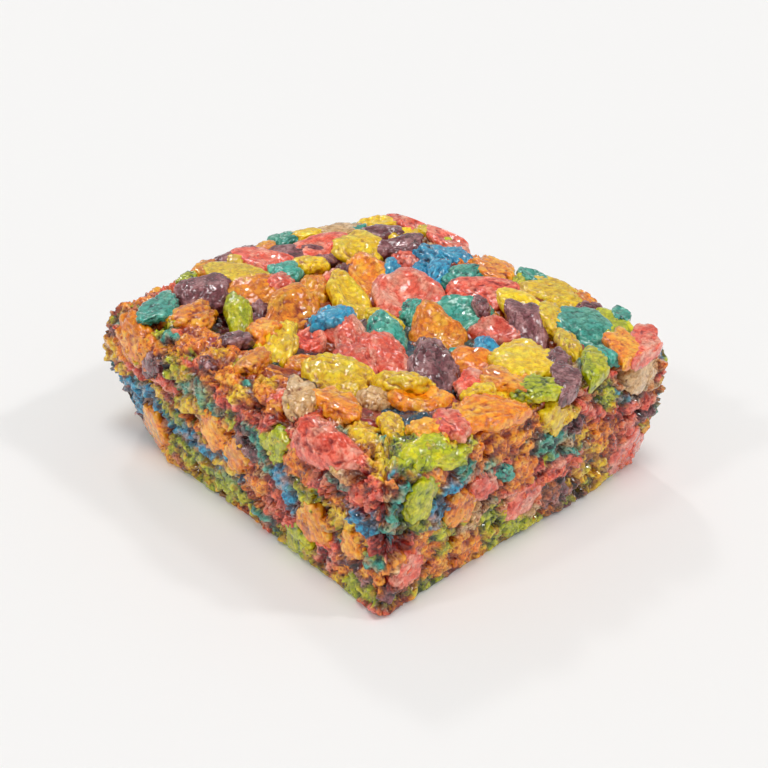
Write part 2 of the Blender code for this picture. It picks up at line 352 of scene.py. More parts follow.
# The flakes that fill in: their half lengths and half breadths, the spacing of their rows, how far these
# keep from the sides, and under what height a gap is plugged, at most so many times.
FILLER_LENGTHS, FILLER_BREADTHS = (3.6, 5.2), (3.0, 4.2)
FILL_STEP_X, FILL_STEP_Y, FILL_INSET = 7.8, 6.8, 10.0
GAP_HEIGHT, MOST_PLUGS = HEIGHT - 4.9, 70

# A flake is a little larger than what shows of it between its neighbours, may stand out of the plan by so
# many millimetres, and leans no more than this towards the camera.
FLAKE_GROWTH = 1.2
EDGE_GIVE = 0.9
STEEPEST = math.radians(28)

# How many points a flake's mesh has, and what share of them lies on the side that shows.
FINE_POINTS, MEDIUM_POINTS, COARSE_POINTS = 1500, 900, 420
UPPER_SHARE = 0.68

# The heights of the rows of flakes on the hidden sides, and the seed of all the random draws.
SIDE_ROWS = (5.0, 11.5, 18.0, 23.0)
SEED = 31

# A lattice of directions of unit length behind the gradient noise.
LATTICE_SIZE = 32
lattice = np.random.default_rng(7).normal(size=(LATTICE_SIZE,) * 3 + (3,))
lattice /= np.linalg.norm(lattice, axis=-1, keepdims=True)
CORNERS = np.array([(i, j, k) for i in (0, 1) for j in (0, 1) for k in (0, 1)])


def noise(points, size, shift=0.0):
    """Smooth gradient noise from about -1 to 1, with features of this size."""
    scaled = points / size + shift
    cell = np.floor(scaled).astype(int)
    part = scaled - cell
    ease = part ** 3 * (part * (part * 6 - 15) + 10)
    total = np.zeros(len(points))
    for corner in CORNERS:
        at = (cell + corner) % LATTICE_SIZE
        slope = lattice[at[:, 0], at[:, 1], at[:, 2]]
        weight = np.where(corner, ease, 1 - ease).prod(1)
        total += weight * (slope * (part - corner)).sum(1)
    return total * 1.7


def drift(points, size, shift):
    """Three noises at once, to push points about with."""
    return np.stack([noise(points, size, shift + 7.3 * axis) for axis in range(3)], 1)


def cell_distance(points, size, shift=0.0):
    """Distance to the nearest of many scattered points, in units of their spacing."""
    scaled = points / size + shift
    cell = np.floor(scaled).astype(int)
    nearest = np.full(len(points), 9.0)
    for offset in np.ndindex(3, 3, 3):
        neighbour = cell + np.array(offset) - 1
        at = neighbour % LATTICE_SIZE
        spot = neighbour + 0.5 + 0.45 * lattice[at[:, 0], at[:, 1], at[:, 2]]
        nearest = np.minimum(nearest, ((spot - scaled) ** 2).sum(1))
    return np.sqrt(nearest)


def smooth_step(value, start, end):
    share = np.clip((value - start) / (end - start), 0, 1)
    return share * share * (3 - 2 * share)


def crumb_relief(points):
    """Popped grain, in millimetres: round bumps of two sizes on a soft swell, with pores between them."""
    wander = points + 0.35 * drift(points, 1.3, 2.9)
    swell = noise(points, 2.6, 1.7)
    bumps = 0.35 - 1.3 * cell_distance(wander, 1.7, 2.2) ** 2
    grains = 0.35 - 1.3 * cell_distance(wander, 0.95, 5.2) ** 2
    return 0.5 * swell + 1.0 * bumps + 0.5 * grains


def make_object(name, points, faces, tints, material):
    """A smooth mesh in metres, riding on the treat, with its colours in the attribute tint."""
    mesh = bpy.data.meshes.new(name)
    mesh.from_pydata((points * MM).tolist(), [], faces)
    mesh.attributes.new("tint", "FLOAT_VECTOR", "POINT").data.foreach_set("vector", tints.ravel())
    mesh.materials.append(material)
    mesh.shade_smooth()
    obj = bpy.data.objects.new(name, mesh)
    bpy.context.scene.collection.objects.link(obj)
    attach(obj, "root")
    return obj


# Camera rays.

forward = CAMERA_LOOK - CAMERA_AT
forward /= np.linalg.norm(forward)
level_right = np.cross(forward, UP)
level_right /= np.linalg.norm(level_right)
level_up = np.cross(level_right, forward)
camera_right = math.cos(CAMERA_ROLL) * level_right + math.sin(CAMERA_ROLL) * level_up
camera_up = math.cos(CAMERA_ROLL) * level_up - math.sin(CAMERA_ROLL) * level_right


def seen_on(pixel, point, normal):
    """Where the photograph's ray through a pixel meets a plane."""
    x, y = pixel
    middle = PHOTO_SIZE / 2
    ray = FOCAL_PIXELS * forward + (x - middle) * camera_right + (middle - y) * camera_up
    return CAMERA_AT + ray * np.dot(np.subtract(point, CAMERA_AT), normal) / np.dot(ray, normal)


def pixels_per_mm(point):
    return FOCAL_PIXELS / np.dot(np.subtract(point, CAMERA_AT), forward)


def seen_axes(seen, down, point, normal):
    """Half the length and half the breadth of a flake that is seen on a plane, as vectors."""
    slant = math.radians(seen.slant)
    axes = []
    for length, angle in ((seen.across, slant), (down, slant + math.pi / 2)):
        step = np.array((math.cos(angle), -math.sin(angle))) * length / 2
        ends = [seen_on((seen.x, seen.y) + sign * step, point, normal) for sign in (1, -1)]
        axes.append((ends[0] - ends[1]) / 2)
    return axes


# The block's form.


def worn_away(x, y, z):
    """How far the sides are drawn in at a height, near the foot and the head of the worn corners."""
    foot = np.clip(1 - z / FOOT_HEIGHT, 0, 1)
    head = np.clip(1 - (HEIGHT - z) / HEAD_HEIGHT, 0, 1)
    along = np.minimum(abs(2 * x / WIDTH), abs(2 * y / DEPTH))
    depth = FOOT_HOLLOW * foot * (1 - along ** 2)
    for (side_x, side_y), (foot_depth, head_depth) in WORN_CORNERS.items():
        distance = np.hypot(x - side_x * WIDTH / 2, y - side_y * DEPTH / 2)
        depth = np.maximum(depth, (foot_depth * foot + head_depth * head) * (1 - distance / WORN_REACH))
    return depth


def past_plan(x, y, inset):
    """How far places lie outside the plan, less an inset, and the outward way there along X and Y."""
    lean = NARROWING / 2 * (0.5 - y / DEPTH)
    across = x + lean
    half_width = WIDTH / 2 - lean - inset
    half_depth = DEPTH / 2 - inset - BACK_BOW * (across / half_width) ** 2 * (y > 0)
    radius = np.maximum(CORNER_RADIUS - inset, 1)
    over_x = abs(across) - (half_width - radius)
    over_y = abs(y) - (half_depth - radius)
    beyond_x, beyond_y = np.maximum(over_x, 0), np.maximum(over_y, 0)
    beyond = np.hypot(beyond_x, beyond_y)
    distance = beyond + np.minimum(np.maximum(over_x, over_y), 0) - radius
    reach = np.maximum(beyond, 1e-6)
    return distance, np.sign(across) * beyond_x / reach, np.sign(y) * beyond_y / reach


def draw_in(points, inset, give=0.0):
    """Moves what lies outside the plan, less an inset, back to its edge, or to at most give past it."""
    x, y, z = points.T
    distance, way_x, way_y = past_plan(x, y, inset + worn_away(x, y, z))
    over = np.maximum(distance, 0)
    over = over - give * np.tanh(over / 3)
    return np.stack((x - way_x * over, y - way_y * over, z), 1)


def core_top(x, y):
    """Height of the crumb under the flakes: a ridge at the edges round a lower middle."""
    dip = smooth_step(-past_plan(x, y, 0)[0], DIP_START, DIP_END)
    crown = CROWN * (1 - ((2 * x / WIDTH) ** 2 + (2 * y / DEPTH) ** 2) / 2)
    return CORE_EDGE_HEIGHT + (CORE_MIDDLE_HEIGHT - CORE_EDGE_HEIGHT) * dip + crown


def round_the_sides(step, inset, z):
    """Points at this step round the block at a height, counter-clockwise from the front left corner."""
    along_x = np.linspace(-1, 1, int(WIDTH / step), endpoint=False)
    along_y = np.linspace(-1, 1, int(DEPTH / step), endpoint=False)
    x = np.concatenate((along_x, np.ones(len(along_y)), -along_x, -np.ones(len(along_y)))) * WIDTH / 2
    y = np.concatenate((-np.ones(len(along_x)), along_y, np.ones(len(along_x)), -along_y)) * DEPTH / 2
    return draw_in(np.stack((x, y, np.full(len(x), z)), 1), inset)


def core_grid():
    """The core's rings of points from the base, up the sides and over on to the top."""
    turn = np.arange(CORE_STEP / TOP_EDGE_RADIUS, math.pi / 2, CORE_STEP / TOP_EDGE_RADIUS)
    shoulder = CORE_EDGE_HEIGHT - TOP_EDGE_RADIUS
    profile = [(BASE_EDGE_RADIUS, 0.0), (BASE_EDGE_RADIUS * 0.3, BASE_EDGE_RADIUS * 0.3)]
    profile += [(0.0, z) for z in np.arange(BASE_EDGE_RADIUS, shoulder, CORE_STEP)]
    profile += [
        (TOP_EDGE_RADIUS * (1 - math.cos(angle)), shoulder + TOP_EDGE_RADIUS * math.sin(angle))
        for angle in turn
    ]
    profile += [(TOP_EDGE_RADIUS + d, CORE_EDGE_HEIGHT) for d in np.arange(0, TOP_BAND, CORE_STEP * 2)]
    rings = []
    for inset, z in profile:
        ring = round_the_sides(CORE_STEP, CORE_INSET + inset, z)
        if z > shoulder:
            rise = core_top(ring[:, 0], ring[:, 1]) - CORE_EDGE_HEIGHT
            ring[:, 2] += rise * (z - shoulder) / TOP_EDGE_RADIUS
        rings.append(ring)
    return np.array(rings)


def grid_faces(ring_count, around):
    index = np.arange(ring_count * around).reshape(ring_count, around)
    after = np.roll(index, -1, axis=1)
    return np.stack((index[:-1], after[:-1], after[1:], index[1:]), -1).reshape(-1, 4).tolist()


def grid_normals(rings):
    """Outward directions of a grid of rings."""
    round_way = np.roll(rings, -1, axis=1) - np.roll(rings, 1, axis=1)
    up_way = np.gradient(rings, axis=0)
    normals = np.cross(round_way, up_way)
    return normals / np.maximum(np.linalg.norm(normals, axis=2, keepdims=True), 1e-9)


def core_hit(tree, seen):
    """Where the photograph's ray to a flake meets or passes the plain core, and the way out there."""
    pixel = (seen.x, seen.y)
    ray = Vector(seen_on(pixel, (0, 0, 0), forward) - CAMERA_AT)
    at, normal = tree.ray_cast(Vector(CAMERA_AT), ray)[:2]
    if at is None:
        at, normal = tree.find_nearest(Vector(seen_on(pixel, (0, 0, HEIGHT / 2), forward)))[:2]
    return np.array(at), np.array(normal)


# Patches of the cut sides: flakes that the knife went through, as stretched balls of one colour. The rows of
# frame are a ball's three half axes, and level says how far it stands out.
Patch = namedtuple("Patch", "colour at frame level")


def seen_patch(tree, seen, rng):
    """A patch read from the photograph, on the side of the core where it lies."""
    at, normal = core_hit(tree, seen)
    longest = 0.62 * max(seen.across, seen.down) / pixels_per_mm(at)
    axes = seen_axes(seen, seen.down, at, normal)
    axes = [axis * min(1, longest / np.linalg.norm(axis)) for axis in axes]
    return Patch(seen.colour, at, np.array((*axes, normal * 2.6)), rng.uniform(-0.5, 0.9))


def random_colour(rng, shares=FILL_SHARES):
    weights = np.array(list(shares.values()))
    return list(shares)[rng.choice(len(weights), p=weights / weights.sum())]


def random_turn(rng, lean):
    """A turn about the upright axis after a lean away from lying flat."""
    turn = Matrix.Rotation(rng.uniform(0, math.tau), 3, "Z") @ Matrix.Rotation(rng.normal(0, lean), 3, "X")
    return np.array(turn.transposed())


def scattered_patches(rng):
    """Flat-lying flakes cut through at random, in rows all round the sides."""
    patches = []
    for z in np.arange(1.4, HEIGHT, 2.6):
        for place in round_the_sides(5.2, 2.2, z):
            at = place + rng.uniform(-2.2, 2.2, 3) * (1, 1, 0.6)
            size = np.diag((rng.uniform(2.2, 4.8), rng.uniform(2.0, 3.6), rng.uniform(0.9, 1.8)))
            colour = random_colour(rng)
            stretch = size @ random_turn(rng, 0.45)
            patches.append(Patch(colour, at, stretch, rng.uniform(-1.2, 0.8)))
    return patches


def nearest_patches(points, patches):
    """For each point its nearest and second nearest patch, and the gap between them in patch radii."""
    inverse = np.array([np.linalg.inv(patch.frame) for patch in patches])
    moved = np.einsum("pi,pij->pj", np.array([patch.at for patch in patches]), inverse)
    first, second = np.zeros((2, len(points)), int)
    gap = np.zeros(len(points))
    flat = inverse.transpose(1, 0, 2).reshape(3, -1)
    for start in range(0, len(points), 4000):
        some = slice(start, start + 4000)
        local = (points[some] @ flat).reshape(-1, len(patches), 3) - moved
        distance = np.sqrt((local ** 2).sum(2))
        order = np.argpartition(distance, 1, axis=1)[:, :2]
        pair = np.take_along_axis(distance, order, 1)
        rows = np.arange(len(order))
        nearer = pair.argmin(1)
        first[some] = order[rows, nearer]
        second[some] = order[rows, 1 - nearer]
        gap[some] = abs(pair[:, 0] - pair[:, 1])
    return first, second, gap


def colours_of(names, points, raised, shift):
    """Colours at points from the names of their flakes: blotches, paler raised parts that are partly painted
    sheen, and painted shade in pits.
    """
    kinds = sorted(PALETTE)
    number = np.array([kinds.index(name) for name in names])
    usual, other, pit_shade_colour = (np.array([PALETTE[kind][i] for kind in kinds])[number] for i in range(3))
    # Raised parts drift towards the paler colour, partly as painted sheen.
    blotch_and_sheen = noise(points, 3.4, shift) + 0.5 * noise(points, 1.1, shift) + 0.5 * raised
    colour = usual + (other - usual) * smooth_step(blotch_and_sheen, -0.1, 0.9)[:, None]
    # Painted shade: low parts take the darker pit colour.
    painted_pit_shade = smooth_step(-raised, 0.0, 0.6)
    return colour + (pit_shade_colour - colour) * painted_pit_shade[:, None]


def make_core(rings, patches, dents, material):
    """The porous block: one closed mesh with cut flakes, popped grain and hollows on its sides."""
    ring_count, around = rings.shape[:2]
    points, out = rings.reshape(-1, 3), grid_normals(rings).reshape(-1, 3)
    strayed = points + 1.0 * drift(points, 2.6, 3.1) + 0.8 * drift(points, 0.9, 9.7)
    first, second, gap = nearest_patches(strayed, patches)
    level = np.array([patch.level for patch in patches])[first]
    groove = 1 - smooth_step(gap, 0.0, 0.25)
    hollow = HOLLOW_DEPTH * smooth_step(noise(strayed * (1, 1, 1.4), 3.2, 14.2), 0.34, 0.58)
    for dent in dents:
        distance = np.linalg.norm((strayed - dent.at) @ np.linalg.inv(dent.frame), axis=1)
        hollow = np.maximum(hollow, DENT_DEPTH * (1 - smooth_step(distance, 0.45, 1.25)))
    grain = crumb_relief(points)
    relief = PATCH_RELIEF * level + grain - GROOVE_DEPTH * groove - hollow
    ring_number = np.repeat(np.arange(ring_count), around)
    fade = smooth_step(ring_number, 0, 4) * (1 - smooth_step(ring_number, ring_count - 9, ring_count - 1))
    moved = points + (out * relief[:, None] + 0.3 * drift(points, 1.2, 20.6)) * fade[:, None]
    moved[:, 2] = np.where(ring_number == 0, 0, np.maximum(moved[:, 2], 0.05))
    # Painted light and shade: low grain, grooves and hollows take the pit colour, and high grain the paler
    # one.
    raised = 1.2 * grain - 0.6 * groove - 0.7 * hollow
    names = np.array([patch.colour for patch in patches])
    share = 0.4 * (1 - smooth_step(gap + 0.2 * noise(points, 0.9, 6.6), 0.0, 0.4))[:, None]
    tints = colours_of(names[first], points, raised, 12.4) * (1 - share)
    tints += colours_of(names[second], points, raised, 12.4) * share
    blots = noise(points, 3.2, 30.3) + 0.7 * noise(points, 1.1, 33.1)
    stain = STAIN_SHARE * smooth_step(blots, -0.1, 0.8)[:, None]
    # The stain is painted paler on raised grain and darker in grooves and hollows: painted light and shade.
    tints += (STAIN * (1 + 0.5 * raised[:, None].clip(-1, 1)) - tints) * stain
    faces = grid_faces(ring_count, around)
    faces += [list(range(around))[::-1], list(range((ring_count - 1) * around, ring_count * around))]
    return make_object("crumb_core", moved, faces, tints, material)


# Flakes.


def unit_flake(count):
    """Points spread over a ball, most of them on its upper side, and the faces of their hull."""
    share = (np.arange(count) + 0.5) / count
    z = 1 - 2 * np.interp(share, (0, UPPER_SHARE, 1), (0, 0.5, 1))
    angle = np.arange(count) * math.pi * (3 - math.sqrt(5))
    reach = np.sqrt(1 - z * z)
    points = np.stack((reach * np.cos(angle), reach * np.sin(angle), z), 1)
    bm = bmesh.new()
    for point in points:
        bm.verts.new(point)
    bmesh.ops.convex_hull(bm, input=bm.verts[:])
    bm.verts.index_update()
    faces = np.array([[vert.index for vert in face.verts] for face in bm.faces if len(face.verts) == 3])
    bm.free()
    return points, faces


def shape_flake(unit, half_length, half_width, form, rng, thickness):
    """A flake's points about its own middle, its length along X and its upper side up, and its relief."""
    x, y, z = unit.T
    angle = np.arctan2(y, x)
    reach = np.hypot(x, y) ** form.puff
    outline = 1 + sum(
        form.outline * rng.normal(0, 0.8) / math.sqrt(k) * np.cos(k * angle + rng.uniform(0, math.tau))
        for k in range(2, 7)
    )
    px = half_length * reach * outline * np.cos(angle)
    py = half_width * reach * outline * np.sin(angle)
    pz = thickness / 2 * np.sign(z) * abs(z) ** form.puff * np.where(z < 0, 0.7, 1)
    upper = np.clip(z * 3, 0, 1)
    rim = np.exp(-((reach - 0.74) / 0.2) ** 2) - 0.8 * np.exp(-((reach - 0.1) / 0.42) ** 2)
    pz += thickness / 2 * (form.rim * rim * upper + form.dish * (reach ** 2 - 0.5))
    pz -= form.bend * thickness / 2 * (px / half_length) ** 2
    pz += thickness * 0.12 * rng.normal() * px * py / (half_length * half_width)
    points = np.stack((px, py, pz), 1)
    normal = np.stack((x / half_length, y / half_width, z / (thickness / 2)), 1)
    normal /= np.linalg.norm(normal, axis=1, keepdims=True)
    shift = rng.uniform(0, LATTICE_SIZE)
    own = points + shift
    lumps = 0.6 * noise(own, 3.2) + 0.4 * noise(own, 1.7)
    creases = smooth_step(abs(noise(own + 0.5 * drift(own, 1.4, 4), 2.2, 9)), 0.0, 0.22)
    blisters = noise(own, 0.9, 5) + 0.6 * noise(own, 0.5, 3)
    grain = crumb_relief(own)
    relief = form.lump * (0.7 * lumps + 0.55 * creases) + form.blister * blisters + form.crumb * grain
    # Painted light and shade: creases and low parts take the pit colour, and high parts the paler one.
    raised = 0.8 * relief + 0.35 * grain - 0.25 * (1 - creases)
    return points + normal * relief[:, None], raised


def flake_tints(colour, points, raised, rng):
    """A flake's own tone of its colour, with paler raised parts that are partly painted sheen and painted
    shade in its pits.
    """
    tints = colours_of([colour] * len(points), points, raised + rng.uniform(-0.1, 0.5), rng.uniform(0, 30))
    return tints * rng.uniform(0.86, 1.08)


class Pile:
    """The flakes of the heap by colour, and a map of how high the heap stands over each place."""

    # The size of the map's cells and half its width in millimetres, how many cells a side of the blocks has
    # that are searched for gaps, and the height given to places that the heap doesn't cover.
    STEP = 0.5
    HALF = 45
    BLOCK = 6
    BARE = -99.0

    def __init__(self):
        self.parts = {colour: [] for colour in FILL_SHARES}
        places = np.arange(-self.HALF, self.HALF, self.STEP)
        x, y = np.meshgrid(places, places, indexing="ij")
        self.height = np.where(past_plan(x, y, 2.0)[0] < 0, core_top(x, y), self.BARE)
        self.rim = past_plan(x, y, 8.0)[0] > 0

    def cells(self, points):
        at = np.floor((points[:, :2] + self.HALF) / self.STEP).astype(int)
        return np.clip(at, 0, self.height.shape[0] - 1)

    def keep(self, colour, points, faces, tints):
        self.parts[colour].append((points, faces, tints))

    def slope(self, points):
        """The lie of the heap under these places, as its rise along X and Y."""
        at = self.cells(points)
        level = self.height[at[:, 0], at[:, 1]]
        held = level > 0
        if held.sum() < 12:
            return np.zeros(2)
        ground = np.c_[points[held, :2], np.ones(held.sum())]
        fit = np.linalg.lstsq(ground, level[held], rcond=None)[0][:2]
        return np.clip(fit, -0.4, 0.4)

    def rest_height(self, points, sink):
        """How far these points rise or drop to lie on the heap, pressed in by sink."""
        under = points[points[:, 2] < np.median(points[:, 2])]
        at = self.cells(under)
        level = self.height[at[:, 0], at[:, 1]]
        held = level > 0
        if not held.any():
            return CORE_EDGE_HEIGHT
        return np.percentile((level - under[:, 2])[held], 75) - sink

    def add(self, points):
        at = self.cells(points)
        inside = self.height[at[:, 0], at[:, 1]] > 0
        np.maximum.at(self.height, (at[inside, 0], at[inside, 1]), points[inside, 2])

    def lowest_place(self):
        """The middle and the height of the lowest few millimetres of the heap, away from its rim."""
        count = self.height.shape[0] // self.BLOCK
        level = np.where(self.rim, HEIGHT, self.height)
        blocks = level.reshape(count, self.BLOCK, count, self.BLOCK).mean((1, 3))
        at = np.array(np.unravel_index(blocks.argmin(), blocks.shape))
        return (at + 0.5) * self.BLOCK * self.STEP - self.HALF, blocks.min()


def tilt_to(slope):
    """The turn that lays a level flake on ground with this rise along X and Y."""
    normal = Vector((-slope[0], -slope[1], 1)).normalized()
    return np.array(Vector((0, 0, 1)).rotation_difference(normal).to_matrix())


def drop_flake(pile, unit_set, colour, axes, place_at, form, thickness, rng, sink, highest, shade=1):
    """Lays a flake on the heap, pressed in by sink, with painted shade: its colours multiplied by shade.

    place_at(height) says where its middle is when it lies at a height.
    """
    unit, faces = unit_set
    half_length, half_width = (np.linalg.norm(axis) for axis in axes[:2])
    local, raised = shape_flake(unit, half_length, half_width, form, rng, thickness)
    turned = local @ np.array([axis / np.linalg.norm(axis) for axis in axes])
    place = place_at(HEIGHT - 3)
    for _ in range(3):
        laid = turned @ tilt_to(pile.slope(turned + place) * 0.8).T
        height = min(pile.rest_height(laid + (place[0], place[1], 0), sink), highest)
        place = place_at(height)
    points = draw_in(laid + (place[0], place[1], height), 0.0, EDGE_GIVE)
    over = points[:, 2] - PRESSED_HEIGHT
    points[:, 2] = np.where(over > 0, PRESSED_HEIGHT + np.tanh(over), points[:, 2])
    pile.add(points[unit[:, 2] > 0])
    tints = flake_tints(colour, local, raised, rng)
    # shade is a painted shade for flakes that lie in gaps.
    pile.keep(colour, points, faces, tints * shade)


def seen_flake(pile, seen, unit_set, rng):
    """A flake of the top, with the place, size and slant that the photograph shows.

    Part of its height in the photograph is its thickness. Laid level, a tall one would come out too long, so
    it is kept to the longest length seen and leans towards the camera instead.
    """
    form = FORMS[seen.form]
    guess = (0, 0, HEIGHT - 2.5)
    scale = pixels_per_mm(seen_on((seen.x, seen.y), guess, UP))
    thickness = min(form.thick, 0.45 * seen.across / scale + 0.8) * rng.uniform(0.9, 1.1)
    rise = math.sqrt(1 - forward[2] ** 2) * thickness * scale * 0.5
    flat_down = max(seen.down - rise, 0.55 * seen.down)
    longest = 1.15 * max(seen.across, seen.down) / scale / 2
    axes = seen_axes(seen, flat_down, guess, UP)
    for i, axis in enumerate(axes):
        reach = np.linalg.norm(axis)
        if reach > longest:
            lying = math.asin(abs(forward[2]))
            lift = min(math.asin(min(reach * abs(forward[2]) / longest, 1)) - lying, STEEPEST)
            away = axis / reach * (1 if np.dot(axis, forward) > 0 else -1)
            axes[i] = longest * (away * math.cos(max(lift, 0)) + UP * math.sin(max(lift, 0)))
    axes = [axis * FLAKE_GROWTH for axis in axes]
    face_up = np.cross(axes[0], axes[1])
    face_up *= np.sign(face_up[2])

    def place_at(height):
        place = seen_on((seen.x, seen.y), (0, 0, height), UP)
        return draw_in(place[None], 1.5)[0]

    highest = HIGHEST_SEEN + rng.uniform(-0.6, 0.4)
    drop_flake(pile, unit_set, seen.colour, (*axes, face_up), place_at, form, thickness, rng, 0.8, highest)


def lay_filler(pile, x, y, unit_set, rng, shares, sink, shade):
    """A flake of no set place, mostly hidden by those above."""
    turn = random_turn(rng, 0)
    sizes = rng.uniform(*FILLER_LENGTHS), rng.uniform(*FILLER_BREADTHS), 1
    axes = [turn[i] * sizes[i] for i in range(3)]
    form = FORMS[("disc", "pebble", "bean")[rng.integers(3)]]
    highest = HIGHEST_FILLER + rng.uniform(-0.5, 0.5)
    drop_flake(
        pile, unit_set, random_colour(rng, shares), axes, lambda height: np.array((x, y, height)),
        form, form.thick * 0.85, rng, sink, highest, shade,
    )


def fill_top(pile, unit_set, rng):
    """A lower layer of flakes in staggered rows, with painted shade for lying under those above."""
    for row, y in enumerate(np.arange(-DEPTH / 2 + 6, DEPTH / 2 - 4, FILL_STEP_Y)):
        stagger = FILL_STEP_X / 2 * (row % 2)
        for x in np.arange(-WIDTH / 2 + 6 + stagger, WIDTH / 2 - 4, FILL_STEP_X):
            at_x, at_y = (x, y) + rng.uniform(-1.2, 1.2, 2)
            if past_plan(at_x, at_y, FILL_INSET)[0] < 0:
                # Painted shade: this lower layer is darkened as if shaded by the flakes above.
                lay_filler(pile, at_x, at_y, unit_set, rng, GAP_SHARES, 1.0, PAINTED_GAP_SHADE)


def plug_gaps(pile, unit_set, rng):
    """More flakes in the lowest places, until no wide gap is left between those of the top."""
    for _ in range(MOST_PLUGS):
        (x, y), height = pile.lowest_place()
        if height > GAP_HEIGHT:
            break
        at_x, at_y = (x, y) + rng.uniform(-0.8, 0.8, 2)
        # A light painted shade on the flakes that plug the gaps.
        lay_filler(pile, at_x, at_y, unit_set, rng, FILL_SHARES, 0.5, PAINTED_PLUG_SHADE)


def side_flake(pile, patch, unit_set, rng, sunk):
    """A torn flake half sunk in a cut side, over its patch."""
    unit, faces = unit_set
    half_length, half_width, _ = np.linalg.norm(patch.frame, axis=1)
    thickness = min(3.4, 0.9 * half_width + 1.2)
    local, raised = shape_flake(unit, half_length, half_width, FORMS["torn"], rng, thickness)
    length_way = patch.frame[0] / half_length
    out = patch.frame[2] / np.linalg.norm(patch.frame[2])
    points = local @ np.array((length_way, np.cross(out, length_way), out)) + patch.at - out * sunk
    points[:, 2] += max(0.1 - points[:, 2].min(), 0)
    points = draw_in(points, 0.0, EDGE_GIVE)
    pile.keep(patch.colour, points, faces, flake_tints(patch.colour, local, raised, rng))


def scattered_side_flakes(pile, unit_set, rng):
    """Flat-lying flakes that stand a little out of the two sides that the photograph doesn't show."""
    unit, faces = unit_set
    for row, z in enumerate(SIDE_ROWS):
        for place in round_the_sides(6.5, 3.6, z)[row % 2::2]:
            if place[0] < -WIDTH / 2 + 6 or place[1] < -DEPTH / 2 + 6:
                continue
            sizes = rng.uniform(3.4, 5.0), rng.uniform(2.8, 4.2)
            local, raised = shape_flake(unit, *sizes, FORMS["torn"], rng, rng.uniform(2.4, 3.6))
            points = local @ random_turn(rng, 0.4) + place + rng.uniform(-1.5, 1.5, 3)
            points = draw_in(points, 0.6, EDGE_GIVE)
            colour = random_colour(rng)
            pile.keep(colour, points, faces, flake_tints(colour, local, raised, rng))


# Materials.


def link(tree, source, target):
    tree.links.new(source, target)


def noise_node(tree, coordinates, size_mm, detail, roughness=0.6):
    node = tree.nodes.new("ShaderNodeTexNoise")
    node.inputs["Scale"].default_value = 1 / (size_mm * MM)
    node.inputs["Detail"].default_value = detail
    node.inputs["Roughness"].default_value = roughness
    link(tree, coordinates, node.inputs["Vector"])
    return node.outputs["Fac"]


def range_node(tree, source, start, end, low_value, high_value):
    node = tree.nodes.new("ShaderNodeMapRange")
    link(tree, source, node.inputs["Value"])
    limits = {"From Min": start, "From Max": end, "To Min": low_value, "To Max": high_value}
    for name, value in limits.items():
        node.inputs[name].default_value = value
    return node.outputs["Result"]


def product_node(tree, first, second):
    node = tree.nodes.new("ShaderNodeMath")
    node.operation = "MULTIPLY"
    link(tree, first, node.inputs[0])
    link(tree, second, node.inputs[1])
    return node.outputs["Value"]


def wrinkle_node(tree, coordinates, size_mm):
    """0 along the fine winding lines where a noise crosses its middle value, and 1 away from them."""
    crossing = tree.nodes.new("ShaderNodeMath")
    crossing.operation = "SUBTRACT"
    link(tree, noise_node(tree, coordinates, size_mm, 3, 0.55), crossing.inputs[0])
    crossing.inputs[1].default_value = 0.5
    distance = tree.nodes.new("ShaderNodeMath")
    distance.operation = "ABSOLUTE"
    link(tree, crossing.outputs["Value"], distance.inputs[0])
    return range_node(tree, distance.outputs["Value"], 0.0, WRINKLE_WIDTH, 0.0, 1.0)


def pore_node(tree, coordinates):
    """0 in scattered round pores, and 1 between them."""
    cells = tree.nodes.new("ShaderNodeTexVoronoi")
    cells.inputs["Scale"].default_value = 1 / (PORE_SPACING * MM)
    link(tree, coordinates, cells.inputs["Vector"])
    return range_node(tree, cells.outputs["Distance"], 0.12, 0.36, 0.0, 1.0)


def marked_node(tree, wrinkles, pores, wrinkle_value, pore_value):
    """1 on plain skin, and these lower values along the wrinkles and in the pores."""
    return product_node(
        tree,
        range_node(tree, wrinkles, 0, 1, wrinkle_value, 1.0),
        range_node(tree, pores, 0, 1, pore_value, 1.0),
    )


# What both kinds of surface share: the sizes of their mottling, fine grain and pores in millimetres, the
# width of a wrinkle as a step of its noise, the colour of dry sugar that is also painted sheen, and how light
# spreads and shines.
MOTTLE_SIZE, FINE_SIZE, PORE_SPACING = 1.3, 0.60, 0.85
WRINKLE_WIDTH = 0.09
SUGAR_AND_SHEEN = (0.85, 0.74, 0.60, 1)
SPREAD_BY_COLOUR = (1.0, 0.45, 0.25)
SPREAD_MM = 0.9
COAT_ROUGHNESS = 0.05
IOR = 1.42

# How they differ: the range of roughness, the depth of the bump and the size of its wrinkles in millimetres,
# how much painted shade darkens wrinkles and pores and how low they are, the weights of the light spread
# below the surface and of the clear coat, and how far dry sugar, partly painted sheen, shows.
Look = namedtuple(
    "Look", "roughness bump wrinkles wrinkle_shade wrinkle_low pore_shade pore_low subsurface coat sugar"
)
CRUMB = Look((0.08, 0.24), 0.20, 1.4, 0.76, 0.6, 0.56, 0.2, 0.12, 0.90, 0.06)
GLAZED = Look((0.07, 0.18), 0.10, 2.0, 0.80, 0.55, 0.84, 0.85, 0.10, 0.90, 0.03)


